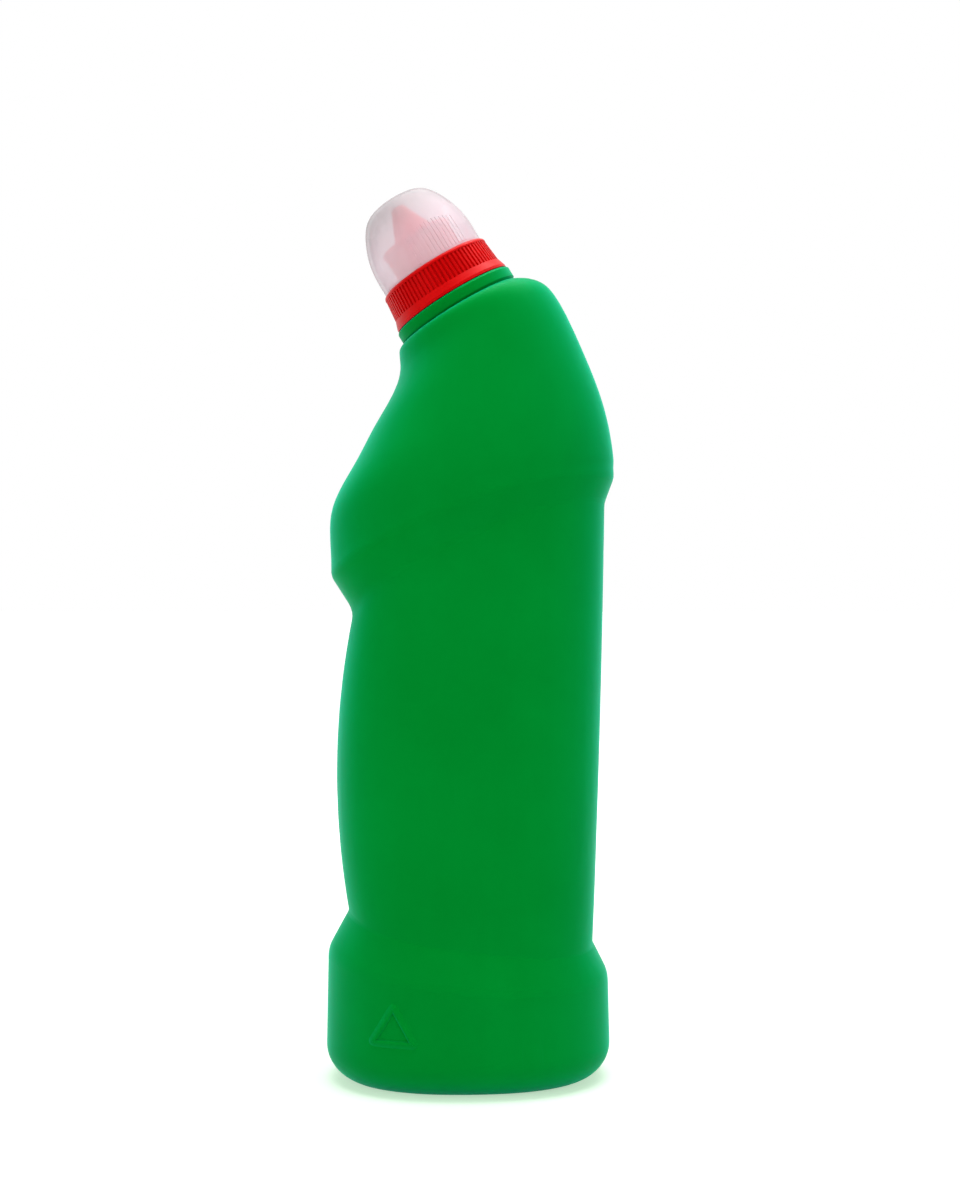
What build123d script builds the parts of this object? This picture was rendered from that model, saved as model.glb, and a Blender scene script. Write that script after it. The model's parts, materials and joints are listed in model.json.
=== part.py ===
from build123d import *
import os
from math import cos, pi, radians, sin

# Squeeze bottle with an angled neck, a screw-on nozzle and a translucent overcap.
# Millimetres. Origin at the centre of the base, Z up, the spout leaning towards -X.
# The front is the spout side (-X), the back is the other narrow side (+X).
# The mould parts on the XZ plane, so both broad faces are mirror images.

# Base collar
base_half_width = 43.4
base_half_depth = 32.0
foot_round = 11.0
base_wall_front = 28.8
base_wall_back = 20.8
base_draft = 0.5
base_ramp_rise_front = 11.6
base_ramp_rise_back = 9.6
base_ramp_inset_front = 6.4
base_ramp_inset_back = 4.9
base_dip = 3.4

# Waisted panel between the two ramps, higher at the back by the climb
panel_depth_inset = 2.8
panel_height = 91.2
panel_climb = 43.0
panel_bulge_front = 4.4
panel_bulge_back = 0.4
panel_lean_front = 1.4
panel_lean_back = 3.8
panel_belly = 0.6

# Shoulder
shoulder_depth_inset = 0.4
shoulder_ramp_rise_front = 11.0
shoulder_ramp_rise_back = 8.2
shoulder_ramp_inset_front = 7.2
shoulder_ramp_inset_back = 3.1
shoulder_arch = 7.2
shoulder_wall_front = 20.2
brow_blend = 2.5
throat_drop = 10.0
throat_flare = 1.6
throat_top_drop = 3.4
throat_top_flare = 2.0
throat_blend = 2.5
throat_depth_flare = 4.0
shoulder_depth_power = 1.5
flank_across = 0.57
flank_down = 0.235
nape_across = 0.232
nape_down = 0.0115
nape_lean = 3.0
nape_pull = 1.3
base_crest_round = 10.0
panel_foot_round = 2.5
panel_top_round = 7.0
shoulder_crest_round = 6.0

# Section ovals are superellipses, squarish in the body and round at the neck
quarter_points = 5
body_squareness = 2.3
panel_squareness = 2.7
throat_squareness = 2.1
round_squareness = 2.0

# Where the loft's stations lie; the shares are of the shoulder's wall, slope and back curve
foot_steps = 3
panel_steps = 4
wall_share = 0.4
slope_low_share = 0.35
slope_high_share = 0.65
back_shares = (0.06, 0.13, 0.2, 0.4, 0.62, 0.8, 0.87, 0.945)

# Neck, in its own tilted frame: height 0 is the top of the collar
neck_x = -4.8
neck_rise = 84.8
neck_tilt = 31.2
collar_radius = 19.9
collar_height = 4.3
collar_edge = 0.7
collar_groove = 0.4
collar_flank = 0.9
neck_root = 3.0
finish_radius = 13.9
finish_height = 9.1
bore_radius = 11.6

# Wall, floor and the push-up under the base
wall = 1.2
neck_thicker = 2.4
neck_thicker_power = 3
floor_thickness = 1.6
push_up_depth = 2.6
push_up_slope = 2.0
standing_land = 4.2
pinch_width = 1.2
pinch_height = 0.8

# Nozzle cap: a ribbed skirt, a top plate, a drum and a conical spout
lip_gap = 0.25
lip_radius = 19.35
lip_height = 3.0
lip_edge = 0.8
band_radius_low = 18.5
band_radius_high = 17.8
groove_depth = 0.5
groove_count = 80
rib_share = 0.46
groove_floor_share = 0.21
band_step = 0.1
plate_rim = 1.2
plate_edge = 1.0
plate_thickness = 1.5
skirt_clearance = 1.4
drum_radius = 11.2
drum_height = 11.2
bead_out = 0.5
bead_height = 1.4
spigot_radius = 15.75
spigot_wall = 1.2
spigot_height = 1.2
spout_foot_radius = 7.0
spout_tip_radius = 2.1
spout_height = 10.6
nozzle_wall = 1.4
orifice_radius = 0.9
orifice_length = 1.6
cut_over = 1.0

# Foam sealing ring between the neck's land and the nozzle cap
seal_thickness = 0.8
seal_clearance = 0.4
seal_slack = 0.05

# Overcap, seated on the nozzle cap's plate round the spigot
overcap_clearance = 0.1
overcap_slack = 0.05
overcap_wall = 1.1
overcap_height = 24.4
overcap_waist = 4.6
overcap_mid_radius = 15.55
overcap_mid_share = 0.45
overcap_crown_radius = 12.1
overcap_crown_drop = 4.0
overcap_crown_thinning = 0.5
pin_clearance = 0.15
pin_reach = 0.8
pad_rib_count = 14
pad_rib_pitch = 4.5
pad_rib_width = 0.7
pad_rib_out = 0.35
pad_rib_length = 8.8
pad_rib_rise = 1.6
pad_rib_foot = 0.6
pad_turn = 13.0

# Body sizes that follow from the ones above
panel_half_depth = base_half_depth - panel_depth_inset
shoulder_half_depth = base_half_depth - shoulder_depth_inset
throat_half_depth = collar_radius + throat_depth_flare
push_up_half_width = base_half_width - foot_round - standing_land
push_up_half_depth = base_half_depth - foot_round - standing_land
panel_foot_height = foot_round + base_wall_front + base_ramp_rise_front
neck_height = panel_foot_height + panel_height + shoulder_ramp_rise_front + neck_rise

# Heights in the neck's frame that follow from the seating
plate_under = finish_height + seal_thickness + seal_slack
plate_top = plate_under + plate_thickness
band_foot = lip_gap + lip_height
band_top = plate_top - plate_rim
drum_top = plate_top + drum_height
spout_tip = drum_top + spout_height
skirt_bore = finish_radius + skirt_clearance
rim_bore = spigot_radius + overcap_clearance
rim_radius = rim_bore + overcap_wall

# Placing of boxes and cylinders that stand on their own origin
standing = (Align.CENTER, Align.CENTER, Align.MIN)


def lerp(start, end, share):
    return start + (end - start) * share


def toward(start, end, distance):
    """Point on the way from start to end, a set distance from start."""
    return start + (end - start).normalized() * distance


def rise(dx, dz):
    return Vector(dx, 0, dz)


def neck_point(radius, along):
    """Point of the parting plane, by radius and height in the neck's own frame."""
    lean = radians(neck_tilt)
    x = neck_x + radius * cos(lean) - along * sin(lean)
    z = neck_height + radius * sin(lean) + along * cos(lean)
    return Vector(x, 0, z)


def neck_plane(along=0.0):
    lean = radians(neck_tilt)
    across = (cos(lean), 0, sin(lean))
    up = (-sin(lean), 0, cos(lean))
    return Plane(origin=neck_point(0, along), x_dir=across, z_dir=up)


def station(front, back, half_depth, squareness=body_squareness, arch=0.0, thicker=1.0):
    return dict(front=front, back=back, half_depth=half_depth, squareness=squareness,
                arch=arch, thicker=thicker)


def section_wire(row, inset):
    """Closed oval from front to back, lifted by the arch where it crosses the broad faces."""
    along = (row["back"] - row["front"]).normalized()
    up = Vector(-along.Z, 0, along.X)
    centre = (row["front"] + row["back"]) * 0.5
    half_width = (row["back"] - row["front"]).length / 2 - inset * row["thicker"]
    half_depth = row["half_depth"] - inset * row["thicker"]
    power = 2 / row["squareness"]
    near = [centre - along * half_width]
    for step in range(1, 2 * quarter_points):
        angle = pi * step / (2 * quarter_points)
        share_x = abs(cos(angle)) ** power * (-1 if step < quarter_points else 1)
        share_y = sin(angle) ** power
        near.append(centre + along * (half_width * share_x) + up * (row["arch"] * share_y ** 2)
                    - Vector(0, half_depth * share_y, 0))
    near.append(centre + along * half_width)
    far = [Vector(p.X, -p.Y, p.Z) for p in reversed(near[1:-1])]
    return Wire([Spline(near + far, periodic=True)])


def foot_rows(start_height):
    """Quarter round from the standing face up to the base wall."""
    rows = []
    for step in range(foot_steps + 1):
        angle = pi / 2 * step / foot_steps
        pull_in = foot_round * (1 - sin(angle))
        height = lerp(start_height, foot_round, 1 - cos(angle))
        reach = base_half_width - pull_in
        rows.append(station(rise(-reach, height), rise(reach, height), base_half_depth - pull_in))
    return rows


def panel_row(foot, top, share):
    """Station of the waisted panel: the front edge bows out, the back edge is nearly straight."""
    hump = 4 * share * (1 - share)
    front = foot["front"] + (top["front"] - foot["front"]) * share - rise(panel_bulge_front * hump, 0)
    back = foot["back"] + (top["back"] - foot["back"]) * share + rise(panel_bulge_back * hump, 0)
    half_depth = panel_half_depth + panel_belly * hump
    return station(front, back, half_depth, panel_squareness, lerp(foot["arch"], top["arch"], share))


def shoulder_rows(crest):
    """Shoulder: a wall, a slope and a throat in front, one long curve behind, up to the neck's root."""
    root_front = neck_point(collar_groove - collar_radius, -collar_height)
    root_back = neck_point(collar_radius - collar_groove, -collar_height)
    wall_top = crest["front"] + rise(0, shoulder_wall_front)
    throat = root_front - rise(throat_flare, throat_drop)
    throat_top = root_front - rise(throat_top_flare, throat_top_drop)
    fall = crest["back"] - root_back
    nape = root_back + rise(nape_across * fall.X, nape_down * fall.Z)
    flank = root_back + rise(flank_across * fall.X, flank_down * fall.Z)
    lean = radians(nape_lean)
    back_curve = Spline([crest["back"], flank, nape, root_back],
                        tangents=[(0, 0, 1), (-cos(lean), 0, sin(lean))], tangent_scalars=[1, nape_pull])
    fronts = [
        lerp(crest["front"], wall_top, wall_share),
        toward(wall_top, crest["front"], brow_blend),
        toward(wall_top, throat, brow_blend),
        lerp(wall_top, throat, slope_low_share),
        lerp(wall_top, throat, slope_high_share),
        toward(throat, wall_top, throat_blend),
        toward(throat, throat_top, throat_blend),
        throat_top,
    ]
    rows = [crest]
    for front, share in zip(fronts, back_shares):
        rows.append(station(front, back_curve @ share,
                            lerp(shoulder_half_depth, throat_half_depth, share ** shoulder_depth_power),
                            lerp(body_squareness, throat_squareness, share),
                            shoulder_arch * (1 - share) ** 2,
                            lerp(1, neck_thicker, share ** neck_thicker_power)))
    root_radius = collar_radius - collar_groove
    rows.append(station(root_front, root_back, root_radius, round_squareness, thicker=neck_thicker))
    return rows


def body_zones(start_height):
    """Stations of the bottle, zone by zone: (stations, ruled). Neighbours share their end stations."""
    foot = foot_rows(start_height)
    base_crest = station(foot[-1]["front"] + rise(base_draft, base_wall_front),
                         foot[-1]["back"] + rise(-base_draft, base_wall_back),
                         base_half_depth, arch=-base_dip)
    panel_foot = station(base_crest["front"] + rise(base_ramp_inset_front, base_ramp_rise_front),
                         base_crest["back"] + rise(-base_ramp_inset_back, base_ramp_rise_back),
                         panel_half_depth, panel_squareness, -base_dip)
    panel_top = station(panel_foot["front"] + rise(panel_lean_front, panel_height),
                        panel_foot["back"] + rise(panel_lean_back, panel_height + panel_climb),
                        panel_half_depth, panel_squareness, shoulder_arch)
    crest = station(panel_top["front"] + rise(-shoulder_ramp_inset_front, shoulder_ramp_rise_front),
                    panel_top["back"] + rise(shoulder_ramp_inset_back, shoulder_ramp_rise_back),
                    shoulder_half_depth, arch=shoulder_arch)
    panel = [panel_row(panel_foot, panel_top, step / panel_steps) for step in range(panel_steps + 1)]
    return [
        (foot, False),
        ([foot[-1], base_crest], True),
        ([base_crest, panel_foot], True),
        (panel, False),
        ([panel_top, crest], True),
        (shoulder_rows(crest), False),
    ]


def body_solid(start_height, inset):
    """Closed body: lofted zones sewn together, with a flat foot and a flat top at the neck's root."""
    zones = body_zones(start_height)
    faces = []
    for rows, ruled in zones:
        faces += Shell.make_loft([section_wire(row, inset) for row in rows], ruled).faces()
    faces.append(Face(section_wire(zones[0][0][0], inset)))
    faces.append(Face(section_wire(zones[-1][0][-1], inset)))
    return Solid(Shell(faces))


def soften(solid):
    """Round the four loops where wall, ramps, panel and shoulder meet."""
    loops = [edge for edge in solid.edges() if edge.is_closed]
    loops.sort(key=lambda edge: edge.center(CenterOf.BOUNDING_BOX).Z)
    base_crest, panel_foot, panel_top, crest = loops[2:6]
    solid = solid.fillet(base_crest_round, [base_crest])
    solid = solid.fillet(shoulder_crest_round, [crest])
    solid = solid.fillet(panel_foot_round, [panel_foot])
    return solid.fillet(panel_top_round, [panel_top])


def push_up(depth, half_width, half_depth):
    """Shallow dished recess under the base."""
    low = station(rise(-half_width, 0), rise(half_width, 0), half_depth)
    high = station(rise(-half_width, depth), rise(half_width, depth), half_depth)
    return Solid.make_loft([section_wire(low, 0), section_wire(high, depth * push_up_slope)], ruled=True)


def turned(points, plane):
    """Solid of revolution about a plane's normal, from (radius, height) points."""
    return plane * revolve(Plane.XZ * make_face(Polyline(*points, close=True)), Axis.Z)


def rim_edges(solid, plane, radius, height):
    """Round edges of a turned solid at a radius and a height in its plane."""
    found = []
    for edge in solid.edges().filter_by(GeomType.CIRCLE):
        centre = plane.to_local_coords(edge.arc_center)
        if abs(edge.radius - radius) < 0.01 and abs(centre.Z - height) < 0.01:
            found.append(edge)
    return found


def neck_solid():
    plane = neck_plane()
    inner = collar_radius - collar_groove - neck_root
    solid = turned([
        (0, -collar_height - neck_root),
        (inner, -collar_height - neck_root),
        (inner, -collar_height),
        (collar_radius - 2 * collar_groove, -collar_height),
        (collar_radius, -collar_height + collar_flank),
        (collar_radius, 0),
        (finish_radius, 0),
        (finish_radius, finish_height),
        (0, finish_height),
    ], plane)
    return fillet(rim_edges(solid, plane, collar_radius, 0), collar_edge)


def bottle_body():
    solid = soften(body_solid(0.0, 0.0)) + neck_solid()
    cavity = body_solid(floor_thickness, wall)
    grow = push_up_slope * floor_thickness
    cavity -= push_up(push_up_depth + floor_thickness, push_up_half_width + grow, push_up_half_depth + grow)
    bore_foot = -collar_height - neck_root
    bore = neck_plane(bore_foot) * Cylinder(bore_radius, finish_height - bore_foot, align=standing)
    solid = solid - cavity - bore - push_up(push_up_depth, push_up_half_width, push_up_half_depth)
    pinch_length = 2 * (push_up_half_width - push_up_slope * (push_up_depth + floor_thickness))
    pinch = Box(pinch_length, pinch_width, pinch_height + floor_thickness / 2, align=standing)
    return solid + Pos(0, 0, push_up_depth - pinch_height) * pinch


def grooved_wire(radius, height):
    """Outline of the grip band: lands on a circle with a flat-bottomed groove between each two."""
    pitch = 2 * pi / groove_count
    half_rib = pitch * rib_share / 2
    half_floor = pitch * groove_floor_share / 2
    floor_radius = radius - groove_depth
    points = []
    for number in range(groove_count):
        middle = number * pitch
        groove = middle + pitch / 2
        for angle, reach in ((middle - half_rib, radius), (middle + half_rib, radius),
                             (groove - half_floor, floor_radius), (groove + half_floor, floor_radius)):
            points.append(Vector(reach * cos(angle), reach * sin(angle), height))
    return Wire.make_polygon(points, close=True)


def nozzle_cap():
    plane = neck_plane()
    lip = turned([
        (0, lip_gap),
        (lip_radius, lip_gap),
        (lip_radius, lip_gap + lip_edge),
        (band_radius_low + band_step, band_foot),
        (0, band_foot),
    ], plane)
    ribs = [grooved_wire(band_radius_low, band_foot), grooved_wire(band_radius_high, band_top)]
    band = plane * Solid.make_loft(ribs, ruled=True)
    plate_radius = band_radius_high + band_step
    plate = turned([
        (0, band_top),
        (plate_radius, band_top),
        (plate_radius, plate_top),
        (spigot_radius, plate_top),
        (spigot_radius, plate_top + spigot_height),
        (spigot_radius - spigot_wall, plate_top + spigot_height),
        (spigot_radius - spigot_wall, plate_top),
        (drum_radius, plate_top),
        (drum_radius, drum_top - bead_height - bead_out),
        (drum_radius + bead_out, drum_top - bead_height),
        (drum_radius + bead_out, drum_top - bead_out),
        (drum_radius, drum_top),
        (spout_foot_radius, drum_top),
        (spout_tip_radius, spout_tip),
        (0, spout_tip),
    ], plane)
    plate = fillet(rim_edges(plate, plane, plate_radius, plate_top), plate_edge)
    hollow = turned([
        (0, 0),
        (skirt_bore, 0),
        (skirt_bore, plate_under),
        (drum_radius - nozzle_wall, plate_under),
        (drum_radius - nozzle_wall, drum_top - nozzle_wall),
        (spout_foot_radius - nozzle_wall, drum_top - nozzle_wall),
        (orifice_radius, spout_tip - orifice_length),
        (orifice_radius, spout_tip + cut_over),
        (0, spout_tip + cut_over),
    ], plane)
    return lip + band + plate - hollow


def neck_seal():
    plane = neck_plane(finish_height)
    outer = Cylinder(skirt_bore - seal_clearance, seal_thickness, align=standing)
    inner = Cylinder(bore_radius, seal_thickness, align=standing)
    return plane * (outer - inner)


def dome(inset, plane):
    """Turned overcap shape, grown or shrunk by an inset."""
    top = overcap_height - inset
    side = Polyline((0, 0), (rim_radius - inset, 0), (rim_radius - inset, overcap_waist))
    mid_height = lerp(overcap_waist, overcap_height, overcap_mid_share)
    crown = Spline(
        (rim_radius - inset, overcap_waist),
        (overcap_mid_radius - inset, mid_height),
        (overcap_crown_radius - inset, overcap_height - overcap_crown_drop - inset * overcap_crown_thinning),
        (0, top),
        tangents=[(0, 1), (-1, 0)],
    )
    profile = Plane.XZ * make_face([*side.edges(), crown, Line((0, top), (0, 0))])
    return plane * revolve(profile, Axis.Z)


def pad_slabs():
    """Radial slabs that stand where the grip ribs of the two pads are."""
    slabs = []
    last = pad_rib_count - 1
    for pad in (-90 + pad_turn, 90 + pad_turn):
        for number in range(pad_rib_count):
            off = number - last / 2
            height = pad_rib_length + pad_rib_rise * (1 - (2 * off / last) ** 2)
            slab = Box(2 * overcap_wall, pad_rib_width, height, align=standing)
            slabs.append(Rot(0, 0, pad + off * pad_rib_pitch) * Pos(rim_radius, 0, pad_rib_foot) * slab)
    return slabs


def overcap():
    plane = neck_plane(plate_top + overcap_slack)
    ribs = dome(-pad_rib_out, Plane.XY) & Compound(pad_slabs())
    shell = dome(0, Plane.XY) + ribs - dome(overcap_wall, Plane.XY)
    inner_top = overcap_height - overcap_wall
    tip = spout_tip - plate_top - overcap_slack
    pin_length = inner_top - tip + pin_reach + overcap_wall / 2
    pin = Cylinder(orifice_radius - pin_clearance, pin_length, align=standing)
    return plane * (shell + Pos(0, 0, tip - pin_reach) * pin)


os.makedirs("parts", exist_ok=True)
for make in (bottle_body, nozzle_cap, neck_seal, overcap):
    piece = make()
    export_step(piece, f"parts/{make.__name__}.step")
    volume = round(piece.volume / 1000, 2)
    print(make.__name__, len(piece.solids()), piece.is_valid, volume, piece.bounding_box())
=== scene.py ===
import bmesh
import bpy
import json
from math import cos, pi, radians, sin
from mathutils import Matrix, Vector
from mathutils.bvhtree import BVHTree


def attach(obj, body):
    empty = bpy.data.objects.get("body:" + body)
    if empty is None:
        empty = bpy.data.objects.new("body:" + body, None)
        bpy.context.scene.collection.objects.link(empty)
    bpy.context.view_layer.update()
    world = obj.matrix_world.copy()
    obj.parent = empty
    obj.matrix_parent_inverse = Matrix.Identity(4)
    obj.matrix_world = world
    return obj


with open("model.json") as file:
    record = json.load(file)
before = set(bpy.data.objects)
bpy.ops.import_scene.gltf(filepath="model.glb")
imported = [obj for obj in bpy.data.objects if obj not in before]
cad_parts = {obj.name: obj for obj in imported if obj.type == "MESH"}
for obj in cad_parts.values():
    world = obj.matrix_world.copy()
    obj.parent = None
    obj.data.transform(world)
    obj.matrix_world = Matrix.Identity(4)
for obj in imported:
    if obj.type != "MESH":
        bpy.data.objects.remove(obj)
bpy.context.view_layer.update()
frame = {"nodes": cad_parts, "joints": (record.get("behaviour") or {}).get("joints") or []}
scene = bpy.context.scene
scene.view_settings.view_transform = "Standard"
mm = 0.001
white = (1, 1, 1, 1)
print("frame loaded:", ", ".join(sorted(frame["nodes"])))

neckJoint = [joint for joint in frame["joints"] if joint["name"] == "nozzle_cap_turn"][0]
neckUp = Vector(neckJoint["axis"]).normalized()
neckOrigin = Vector(neckJoint["pos_m"])  # centre of the collar's top face


# Node helpers
def addNode(tree, kind, inputs=None, **settings):
    node = tree.nodes.new(kind)
    for name, value in settings.items():
        setattr(node, name, value)
    for name, value in (inputs or {}).items():
        if isinstance(value, bpy.types.NodeSocket):
            tree.links.new(value, node.inputs[name])
        else:
            node.inputs[name].default_value = value
    return node


def mathNode(tree, operation, first, second=0.0, clamp=False):
    node = addNode(tree, "ShaderNodeMath", {0: first, 1: second}, operation=operation, use_clamp=clamp)
    return node.outputs[0]


def rangeNode(tree, value, low, high, outLow=0.0, outHigh=1.0):
    node = addNode(tree, "ShaderNodeMapRange", {
        "Value": value, "From Min": low, "From Max": high, "To Min": outLow, "To Max": outHigh})
    node.interpolation_type = "SMOOTHSTEP"
    return node.outputs["Result"]


def mixColour(tree, share, first, second):
    node = addNode(tree, "ShaderNodeMix", {0: share}, data_type="RGBA")
    for port, value in ((node.inputs[6], first), (node.inputs[7], second)):  # its two colour sockets
        if isinstance(value, bpy.types.NodeSocket):
            tree.links.new(value, port)
        else:
            port.default_value = value
    return node.outputs[2]


def noiseNode(tree, vector, scale, detail=2.0, roughness=0.5):
    node = addNode(tree, "ShaderNodeTexNoise", {
        "Vector": vector, "Scale": scale, "Detail": detail, "Roughness": roughness})
    return node.outputs["Fac"]


def stretched(tree, vector, scale):
    return addNode(tree, "ShaderNodeMapping", {"Vector": vector, "Scale": scale}).outputs["Vector"]


def objectPoint(tree):
    return addNode(tree, "ShaderNodeTexCoord").outputs["Object"]


def newGroup(name, inputs, outputs):
    tree = bpy.data.node_groups.new(name, "ShaderNodeTree")
    for label, value in inputs.items():
        socket = tree.interface.new_socket(label, in_out="INPUT", socket_type="NodeSocketFloat")
        socket.default_value = value
    for label in outputs:
        tree.interface.new_socket(label, in_out="OUTPUT", socket_type="NodeSocketFloat")
    return tree, tree.nodes.new("NodeGroupInput"), tree.nodes.new("NodeGroupOutput")


def placeGroup(tree, group, values):
    node = addNode(tree, "ShaderNodeGroup", node_tree=group)
    for label, value in values.items():
        node.inputs[label].default_value = value
    return node.outputs


# Fine skin of a moulded surface: orange peel, pits and a slow drift of tone
skinLook = dict(
    values=dict(Peel=260.0, Pits=1500.0, Drift=30.0),
    peelDetail=1.0, pitDetail=2.0, pitRough=0.6, driftDetail=3.0,
    peelShare=0.7, pitShare=0.3, driftLow=0.3, driftHigh=0.7,
)


def makeMouldSkin():
    look = skinLook
    tree, given, put = newGroup("mouldSkin", look["values"], ("Height", "Tone"))
    point = objectPoint(tree)
    peel = noiseNode(tree, point, given.outputs["Peel"], look["peelDetail"])
    pits = noiseNode(tree, point, given.outputs["Pits"], look["pitDetail"], look["pitRough"])
    drift = noiseNode(tree, point, given.outputs["Drift"], look["driftDetail"])
    peelPart = mathNode(tree, "MULTIPLY", peel, look["peelShare"])
    pitPart = mathNode(tree, "MULTIPLY", pits, look["pitShare"])
    tree.links.new(mathNode(tree, "ADD", peelPart, pitPart), put.inputs["Height"])
    tree.links.new(rangeNode(tree, drift, look["driftLow"], look["driftHigh"]), put.inputs["Tone"])
    return tree


# Faint rub marks from handling and packing, in patches
rubLook = dict(
    values=dict(Length=18.0, Spread=0.62),
    stretch=(26.0, 26.0, 1.0), detail=4.0, rough=0.65, streakHigh=0.8,
    patchScale=42.0, patchLow=0.42, patchHigh=0.62,
)


def makeRubMarks():
    look = rubLook
    tree, given, put = newGroup("rubMarks", look["values"], ("Mask",))
    point = objectPoint(tree)
    streaky = stretched(tree, point, look["stretch"])
    fine = noiseNode(tree, streaky, given.outputs["Length"], look["detail"], look["rough"])
    streak = rangeNode(tree, fine, given.outputs["Spread"], look["streakHigh"])
    patch = rangeNode(tree, noiseNode(tree, point, look["patchScale"]), look["patchLow"], look["patchHigh"])
    tree.links.new(mathNode(tree, "MULTIPLY", streak, patch), put.inputs["Mask"])
    return tree


mouldSkin = makeMouldSkin()
rubMarks = makeRubMarks()
print("node groups ready")


def newMaterial(name):
    material = bpy.data.materials.new(name)
    material.use_nodes = True
    tree = material.node_tree
    tree.nodes.clear()
    return material, tree


def finishMaterial(tree, shader):
    output = addNode(tree, "ShaderNodeOutputMaterial")
    tree.links.new(shader, output.inputs["Surface"])


def peelBump(tree, skin, look):
    bump = addNode(tree, "ShaderNodeBump", {
        "Height": skin["Height"], "Strength": look["peelStrength"], "Distance": look["peelDepth"]})
    return bump.outputs["Normal"]


# Glossy where clean, duller with the drift of tone and the rub marks
def handledRough(tree, skin, rub, look):
    handled = mathNode(tree, "ADD", skin["Tone"], rub["Mask"])
    return rangeNode(tree, handled, 0.0, look["dullAt"], look["gloss"], look["dull"])


def rubbedColour(tree, rub, colour, look):
    return mixColour(tree, mathNode(tree, "MULTIPLY", rub["Mask"], look["rubShare"]), colour, look["rubbed"])


# Green blow-moulded shell
greenShell = dict(
    deep=(0.0, 0.200, 0.012, 1), light=(0.0, 0.235, 0.018, 1),
    rubbed=(0.005, 0.26, 0.04, 1), rubShare=0.35,
    skin=dict(Peel=240.0, Pits=1300.0, Drift=24.0), rub=dict(Length=16.0, Spread=0.6),
    skinShare=0.6, lineShare=0.4, lineStretch=(150.0, 150.0, 2.0), lineScale=1.0, lineDetail=3.0,
    gloss=0.34, dull=0.44, dullAt=1.4, peelStrength=0.35, peelDepth=0.00005,
    bend=1.5, shine=0.01, edgeTint=(0.0, 1.0, 0.7, 1),
    bloom=0.50, bloomRough=0.47, bloomTint=(0.01, 0.95, 0.74, 1),
    seamHalf=0.00022, seamDepth=0.00012,
)


def makeGreenShell():
    look = greenShell
    material, tree = newMaterial("greenShellPlastic")
    point = objectPoint(tree)
    skin = placeGroup(tree, mouldSkin, look["skin"])
    rub = placeGroup(tree, rubMarks, look["rub"])
    # draw lines of the blown tube run up the wall
    drawn = stretched(tree, point, look["lineStretch"])
    lines = noiseNode(tree, drawn, look["lineScale"], look["lineDetail"])
    skinPart = mathNode(tree, "MULTIPLY", skin["Tone"], look["skinShare"])
    linePart = mathNode(tree, "MULTIPLY", lines, look["lineShare"])
    colour = mixColour(tree, mathNode(tree, "ADD", skinPart, linePart), look["deep"], look["light"])
    colour = rubbedColour(tree, rub, colour, look)
    # parting line where the two mould halves met
    side = addNode(tree, "ShaderNodeSeparateXYZ", {0: point}).outputs["Y"]
    seam = rangeNode(tree, mathNode(tree, "ABSOLUTE", side), look["seamHalf"], 0.0)
    seamBump = addNode(tree, "ShaderNodeBump", {
        "Height": seam, "Strength": 1.0, "Distance": look["seamDepth"],
        "Normal": peelBump(tree, skin, look)})
    shader = addNode(tree, "ShaderNodeBsdfPrincipled", {
        "Base Color": colour, "Roughness": handledRough(tree, skin, rub, look),
        "Normal": seamBump.outputs["Normal"], "IOR": look["bend"],
        "Specular IOR Level": look["shine"], "Specular Tint": look["edgeTint"],
        "Sheen Weight": look["bloom"], "Sheen Roughness": look["bloomRough"],
        "Sheen Tint": look["bloomTint"]})
    finishMaterial(tree, shader.outputs["BSDF"])
    return material


# Red moulded closure
redClosure = dict(
    deep=(0.52, 0.001, 0.0015, 1), light=(0.61, 0.002, 0.002, 1),
    rubbed=(0.66, 0.015, 0.015, 1), rubShare=0.3,
    skin=dict(Peel=520.0, Pits=2600.0, Drift=60.0), rub=dict(Length=40.0, Spread=0.6),
    gloss=0.36, dull=0.5, dullAt=1.4, peelStrength=0.4, peelDepth=0.00003,
    bend=1.49, shine=0.2, edgeTint=(1.0, 0.1, 0.1, 1),
)


def makeRedClosure():
    look = redClosure
    material, tree = newMaterial("redClosurePlastic")
    skin = placeGroup(tree, mouldSkin, look["skin"])
    rub = placeGroup(tree, rubMarks, look["rub"])
    colour = mixColour(tree, skin["Tone"], look["deep"], look["light"])
    colour = rubbedColour(tree, rub, colour, look)
    shader = addNode(tree, "ShaderNodeBsdfPrincipled", {
        "Base Color": colour, "Roughness": handledRough(tree, skin, rub, look),
        "Normal": peelBump(tree, skin, look), "IOR": look["bend"],
        "Specular IOR Level": look["shine"], "Specular Tint": look["edgeTint"]})
    finishMaterial(tree, shader.outputs["BSDF"])
    return material


# White foam of the sealing ring
sealFoam = dict(
    deep=(0.70, 0.69, 0.66, 1), light=(0.86, 0.86, 0.83, 1), rough=0.85,
    cellScale=2600.0, cellLow=0.1, cellHigh=0.6, cellStrength=0.5, cellDepth=0.00008,
)


def makeSealFoam():
    look = sealFoam
    material, tree = newMaterial("sealFoamCells")
    cells = addNode(tree, "ShaderNodeTexVoronoi", {"Vector": objectPoint(tree), "Scale": look["cellScale"]})
    depth = cells.outputs["Distance"]
    wall = rangeNode(tree, depth, look["cellLow"], look["cellHigh"])
    colour = mixColour(tree, wall, look["light"], look["deep"])
    bump = addNode(tree, "ShaderNodeBump", {
        "Height": depth, "Strength": look["cellStrength"], "Distance": look["cellDepth"]})
    shader = addNode(tree, "ShaderNodeBsdfPrincipled", {
        "Base Color": colour, "Roughness": look["rough"], "Normal": bump.outputs["Normal"]})
    finishMaterial(tree, shader.outputs["BSDF"])
    return material


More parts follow.
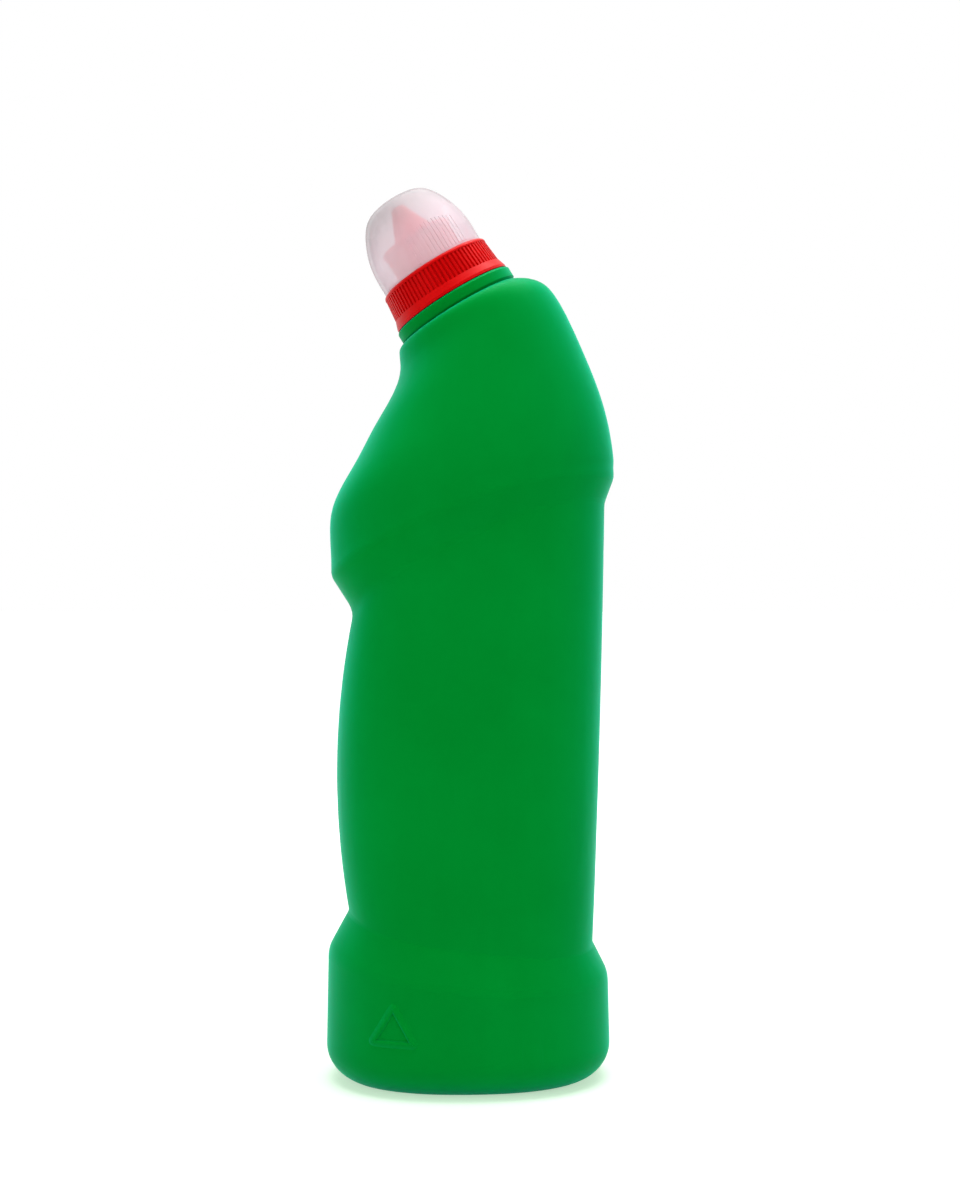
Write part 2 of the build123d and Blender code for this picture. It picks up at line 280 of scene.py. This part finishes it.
# Frosted natural polypropylene of the overcap
clearOvercap = dict(
    # the skirt's pink is painted red light from the closure inside; the dome colour is darker as painted
    # shade against the top light
    skirt=(0.95, 0.83, 0.91, 1), dome=(0.60, 0.57, 0.59, 1), domeFrom=0.3,
    haze=(0.90, 0.88, 0.89, 1), hazeShare=0.25,
    skin=dict(Peel=300.0, Pits=1800.0, Drift=70.0), rub=dict(Length=34.0, Spread=0.58),
    gloss=0.24, dull=0.34, dullAt=1.4, peelStrength=0.4, peelDepth=0.00004,
    bend=1.45, shine=0.15, coat=1.0, edgeTint=(0.87, 0.86, 0.86, 1), edgeBend=1.03,
    veil=0.33, veilSwing=0.06, edgeVeil=0.4, edgeBlend=0.25, lampVeil=0.1,
)


def makeClearOvercap():
    look = clearOvercap
    material, tree = newMaterial("clearOvercapPlastic")
    skin = placeGroup(tree, mouldSkin, look["skin"])
    rub = placeGroup(tree, rubMarks, look["rub"])
    # pink-tinted skirt blending to a darker dome: the pink is painted red light scattered from the closure
    # inside, the darker dome is painted shade against the top light
    rises = [vertex.co.dot(neckUp) for vertex in frame["nodes"]["overcap"].data.vertices]
    domeFoot = min(rises) + look["domeFrom"] * (max(rises) - min(rises))
    rise = addNode(tree, "ShaderNodeVectorMath", {0: objectPoint(tree), 1: neckUp}, operation="DOT_PRODUCT")
    domeShade = rangeNode(tree, rise.outputs["Value"], domeFoot, max(rises))
    colour = mixColour(tree, domeShade, look["skirt"], look["dome"])
    hazy = mathNode(tree, "MULTIPLY", skin["Tone"], look["hazeShare"])
    colour = mixColour(tree, hazy, colour, look["haze"])
    # the wall hides more where it is seen edge on, and its tinted coat takes up more light there
    edgeOn = addNode(tree, "ShaderNodeLayerWeight", {"Blend": look["edgeBlend"]}).outputs["Facing"]
    veil = rangeNode(tree, skin["Tone"], 0.0, 1.0, look["veil"], look["veil"] + look["veilSwing"])
    veil = mathNode(tree, "ADD", veil, mathNode(tree, "MULTIPLY", edgeOn, look["edgeVeil"]), True)
    # milky plastic passes most lamp light on, scattered
    lampRay = addNode(tree, "ShaderNodeLightPath").outputs["Is Shadow Ray"]
    veil = mathNode(tree, "MULTIPLY", veil, rangeNode(tree, lampRay, 0.0, 1.0, 1.0, look["lampVeil"]))
    shader = addNode(tree, "ShaderNodeBsdfPrincipled", {
        "Base Color": colour, "Roughness": handledRough(tree, skin, rub, look),
        "Normal": peelBump(tree, skin, look), "IOR": look["bend"], "Alpha": veil,
        "Specular IOR Level": look["shine"], "Coat Weight": look["coat"], "Coat Roughness": look["dull"],
        "Coat IOR": look["edgeBend"], "Coat Tint": look["edgeTint"]})
    finishMaterial(tree, shader.outputs["BSDF"])
    return material


materials = dict(
    bottle_body=makeGreenShell(),
    nozzle_cap=makeRedClosure(),
    neck_seal=makeSealFoam(),
    overcap=makeClearOvercap(),
)
for nodeName, material in materials.items():
    frame["nodes"][nodeName].material_slots[0].material = material
print("materials on the frame:", len(materials))


def meshPiece(name, mesh):
    bmesh.ops.recalc_face_normals(mesh, faces=mesh.faces)
    data = bpy.data.meshes.new(name)
    mesh.to_mesh(data)
    mesh.free()
    for face in data.polygons:
        face.use_smooth = True
    piece = bpy.data.objects.new(name, data)
    scene.collection.objects.link(piece)
    return piece


def dress(piece, body, material):
    piece.data.materials.append(material)
    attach(piece, body)


# Tactile warning triangle, raised on the base collar
touchMark = dict(
    centre=-0.0230, low=0.0166, high=0.0280, halfWidth=0.0065, corner=0.0011,
    line=0.0025, height=0.0006, sink=0.00012, innerSteep=0.6,
    stepsAcross=12, stepsSide=26, stepsCorner=6, castFrom=-0.2,
)


def roundedTriangle(mark):
    corners = [Vector((-mark["halfWidth"], mark["low"])), Vector((mark["halfWidth"], mark["low"])),
               Vector((0.0, mark["high"]))]
    path = []
    for number, corner in enumerate(corners):
        following = corners[(number + 1) % len(corners)]
        before = (corners[number - 1] - corner).normalized()
        after = (following - corner).normalized()
        start = corner + before * mark["corner"]
        end = corner + after * mark["corner"]
        for step in range(mark["stepsCorner"] + 1):
            share = step / mark["stepsCorner"]
            path.append(start.lerp(corner, share).lerp(corner.lerp(end, share), share))
        last = following - after * mark["corner"]
        for step in range(1, mark["stepsSide"]):
            path.append(end.lerp(last, step / mark["stepsSide"]))
    return path


def makeTouchMark():
    mark = touchMark
    body = frame["nodes"]["bottle_body"].data
    points = [vertex.co for vertex in body.vertices]
    wall = BVHTree.FromPolygons(points, [list(face.vertices) for face in body.polygons])
    inwards = Vector((0, 1, 0))
    path = roundedTriangle(mark)
    mesh = bmesh.new()
    rings = []
    for number, here in enumerate(path):
        along = (path[(number + 1) % len(path)] - path[number - 1]).normalized()
        sideways = Vector((along.y, -along.x))
        ring = []
        for step in range(mark["stepsAcross"] + 1):
            share = step / mark["stepsAcross"]
            flat = here + sideways * ((share - 0.5) * mark["line"])
            outside = Vector((mark["centre"] + flat.x, mark["castFrom"], flat.y))
            hit, normal, face, distance = wall.ray_cast(outside, inwards)
            crown = sin(pi * share ** mark["innerSteep"])  # steep inside, easy outside
            lift = crown * (mark["height"] + mark["sink"]) - mark["sink"]
            ring.append(mesh.verts.new(hit + normal * lift))
        rings.append(ring)
    for ring, following in zip(rings, rings[1:] + rings[:1]):
        for left in range(mark["stepsAcross"]):
            mesh.faces.new((ring[left], ring[left + 1], following[left + 1], following[left]))
    return meshPiece("touchMark", mesh)


# Screw threads on the neck and in the closure's skirt, in mm along the neck
neckThread = dict(root=13.8, crest=14.75, foot=1.4, turns=1.5, pitch=4.0, baseHalf=0.75, crestHalf=0.3)
skirtThread = dict(root=15.4, crest=14.5, foot=2.4, turns=1.4, pitch=4.0, baseHalf=0.7, crestHalf=0.3)
threadCut = dict(stepsTurn=72, runOut=8, tipShare=0.12, edgeRound=0.12, edgeSteps=2)


def neckSpace():
    sideways = Vector((0, 1, 0))
    turn = Matrix((sideways.cross(neckUp), sideways, neckUp)).transposed().to_4x4()
    return Matrix.Translation(neckOrigin) @ turn


def makeThread(name, thread):
    cut = threadCut
    space = neckSpace()
    steps = int(thread["turns"] * cut["stepsTurn"])
    rise = thread["crest"] - thread["root"]
    mesh = bmesh.new()
    rings = []
    for step in range(steps + 1):
        share = step / steps
        fade = min(1.0, cut["runOut"] * share, cut["runOut"] * (1 - share))  # both ends run out
        angle = 2 * pi * step / cut["stepsTurn"]
        height = thread["foot"] + thread["pitch"] * step / cut["stepsTurn"]
        crest = thread["root"] + rise * (cut["tipShare"] + (1 - cut["tipShare"]) * fade)
        ring = []
        for radius, offset in ((thread["root"], -thread["baseHalf"]), (crest, -thread["crestHalf"]),
                               (crest, thread["crestHalf"]), (thread["root"], thread["baseHalf"])):
            point = Vector((radius * cos(angle), radius * sin(angle), height + offset)) * mm
            ring.append(mesh.verts.new(space @ point))
        rings.append(ring)
    for ring, following in zip(rings, rings[1:]):
        for side in range(len(ring)):
            ahead = (side + 1) % len(ring)
            mesh.faces.new((ring[side], ring[ahead], following[ahead], following[side]))
    mesh.faces.new(rings[0])
    mesh.faces.new(list(reversed(rings[-1])))
    piece = meshPiece(name, mesh)
    edge = piece.modifiers.new("threadRound", "BEVEL")
    edge.width = cut["edgeRound"] * mm
    edge.segments = cut["edgeSteps"]
    edge.limit_method = "ANGLE"
    return piece


dress(makeTouchMark(), "bottle", materials["bottle_body"])
dress(makeThread("neckThread", neckThread), "bottle", materials["bottle_body"])
dress(makeThread("skirtThread", skirtThread), "nozzle", materials["nozzle_cap"])
print("pieces added: touchMark, neckThread, skirtThread")


# Rays that show the background itself: straight, through the overcap or in a gloss
def seenRay(tree):
    path = addNode(tree, "ShaderNodeLightPath")
    seen = mathNode(tree, "ADD", path.outputs["Is Camera Ray"], path.outputs["Is Transmission Ray"], True)
    return mathNode(tree, "ADD", seen, path.outputs["Is Glossy Ray"], True)


# White sweep under the object, which keeps the contact shadow
floorLook = dict(
    size=40.0, drop=0.00002, paint=(0.82, 0.82, 0.82, 1), seenPaint=(0.56, 0.56, 0.56, 1),
    # the glow near the object is tinted green: painted green light
    near=0.15, far=0.6, glow=0.62, farGlow=1.0, paintedGreenGlow=(0.72, 1.0, 0.75, 1),
)


def makeFloor():
    look = floorLook
    half = look["size"] / 2
    mesh = bmesh.new()
    sides = ((-half, -half), (half, -half), (half, half), (-half, half))
    mesh.faces.new([mesh.verts.new((x, y, -look["drop"])) for x, y in sides])
    floor = meshPiece("floor", mesh)
    material, tree = newMaterial("floorPaper")
    seen = seenRay(tree)
    paint = mixColour(tree, seen, look["paint"], look["seenPaint"])
    paper = addNode(tree, "ShaderNodeBsdfDiffuse", {"Color": paint})
    away = addNode(tree, "ShaderNodeVectorMath", {0: objectPoint(tree)}, operation="LENGTH").outputs["Value"]
    level = rangeNode(tree, away, look["near"], look["far"], look["glow"], look["farGlow"])
    # painted green light: the floor's glow is tinted green close by, standing in for light through the green
    # wall in the shadow
    paintedGreenTint = mixColour(tree, rangeNode(tree, away, look["near"], look["far"]), look["paintedGreenGlow"], white)
    strength = mathNode(tree, "MULTIPLY", seen, level)
    glow = addNode(tree, "ShaderNodeEmission", {"Color": paintedGreenTint, "Strength": strength})
    total = addNode(tree, "ShaderNodeAddShader", {0: paper.outputs["BSDF"], 1: glow.outputs["Emission"]})
    finishMaterial(tree, total.outputs["Shader"])
    floor.data.materials.append(material)


# Tent of soft light: brighter behind, dim towards the camera, white where it is seen
tentLook = dict(front=0.33, back=0.5, seen=1.0, frontEdge=-0.9, backEdge=0.7)


def makeTent():
    look = tentLook
    world = bpy.data.worlds.new("tent")
    scene.world = world
    world.use_nodes = True
    tree = world.node_tree
    tree.nodes.clear()
    point = addNode(tree, "ShaderNodeTexCoord").outputs["Generated"]
    depth = addNode(tree, "ShaderNodeSeparateXYZ", {0: point}).outputs["Y"]
    tent = rangeNode(tree, depth, look["frontEdge"], look["backEdge"], look["front"], look["back"])
    strength = addNode(tree, "ShaderNodeMix", {0: seenRay(tree), 2: tent, 3: look["seen"]}).outputs[0]
    background = addNode(tree, "ShaderNodeBackground", {"Color": white, "Strength": strength})
    output = addNode(tree, "ShaderNodeOutputWorld")
    tree.links.new(background.outputs["Background"], output.inputs["Surface"])


softboxes = dict(
    topBox=dict(place=(0.04, 0.03, 0.95), aim=(0.0, 0.0, 0.12), width=0.9, height=0.9, watts=12.8),
    leftBox=dict(place=(-0.75, -0.70, 0.45), aim=(0.0, 0.0, 0.13), width=0.7, height=0.9, watts=2.8),
    rightBox=dict(place=(0.85, -0.55, 0.40), aim=(0.0, 0.0, 0.13), width=0.7, height=0.9, watts=2.2),
)


def makeSoftbox(name, look):
    lamp = bpy.data.lights.new(name, "AREA")
    lamp.shape = "RECTANGLE"
    lamp.size = look["width"]
    lamp.size_y = look["height"]
    lamp.energy = look["watts"]
    box = bpy.data.objects.new(name, lamp)
    box.location = look["place"]
    box.rotation_euler = (Vector(look["aim"]) - box.location).to_track_quat("-Z", "Y").to_euler()
    scene.collection.objects.link(box)


# Camera as in the photograph: level, close, a little round to the spout's side
cameraLook = dict(distance=0.510, height=0.1461, aside=0.00355, turn=2.5, lens=49.53, sensor=36.0, clip=0.01)


def makeCamera():
    look = cameraLook
    turn = radians(look["turn"])
    camera = bpy.data.cameras.new("camera")
    camera.lens = look["lens"]
    camera.sensor_width = look["sensor"]
    camera.clip_start = look["clip"]
    holder = bpy.data.objects.new("camera", camera)
    holder.location = (look["aside"] * cos(turn) - look["distance"] * sin(turn),
                       -look["aside"] * sin(turn) - look["distance"] * cos(turn), look["height"])
    holder.rotation_euler = (pi / 2, 0, -turn)
    scene.collection.objects.link(holder)
    scene.camera = holder


makeFloor()
makeTent()
for boxName, boxLook in softboxes.items():
    makeSoftbox(boxName, boxLook)
makeCamera()
print("floor, lights and camera set")
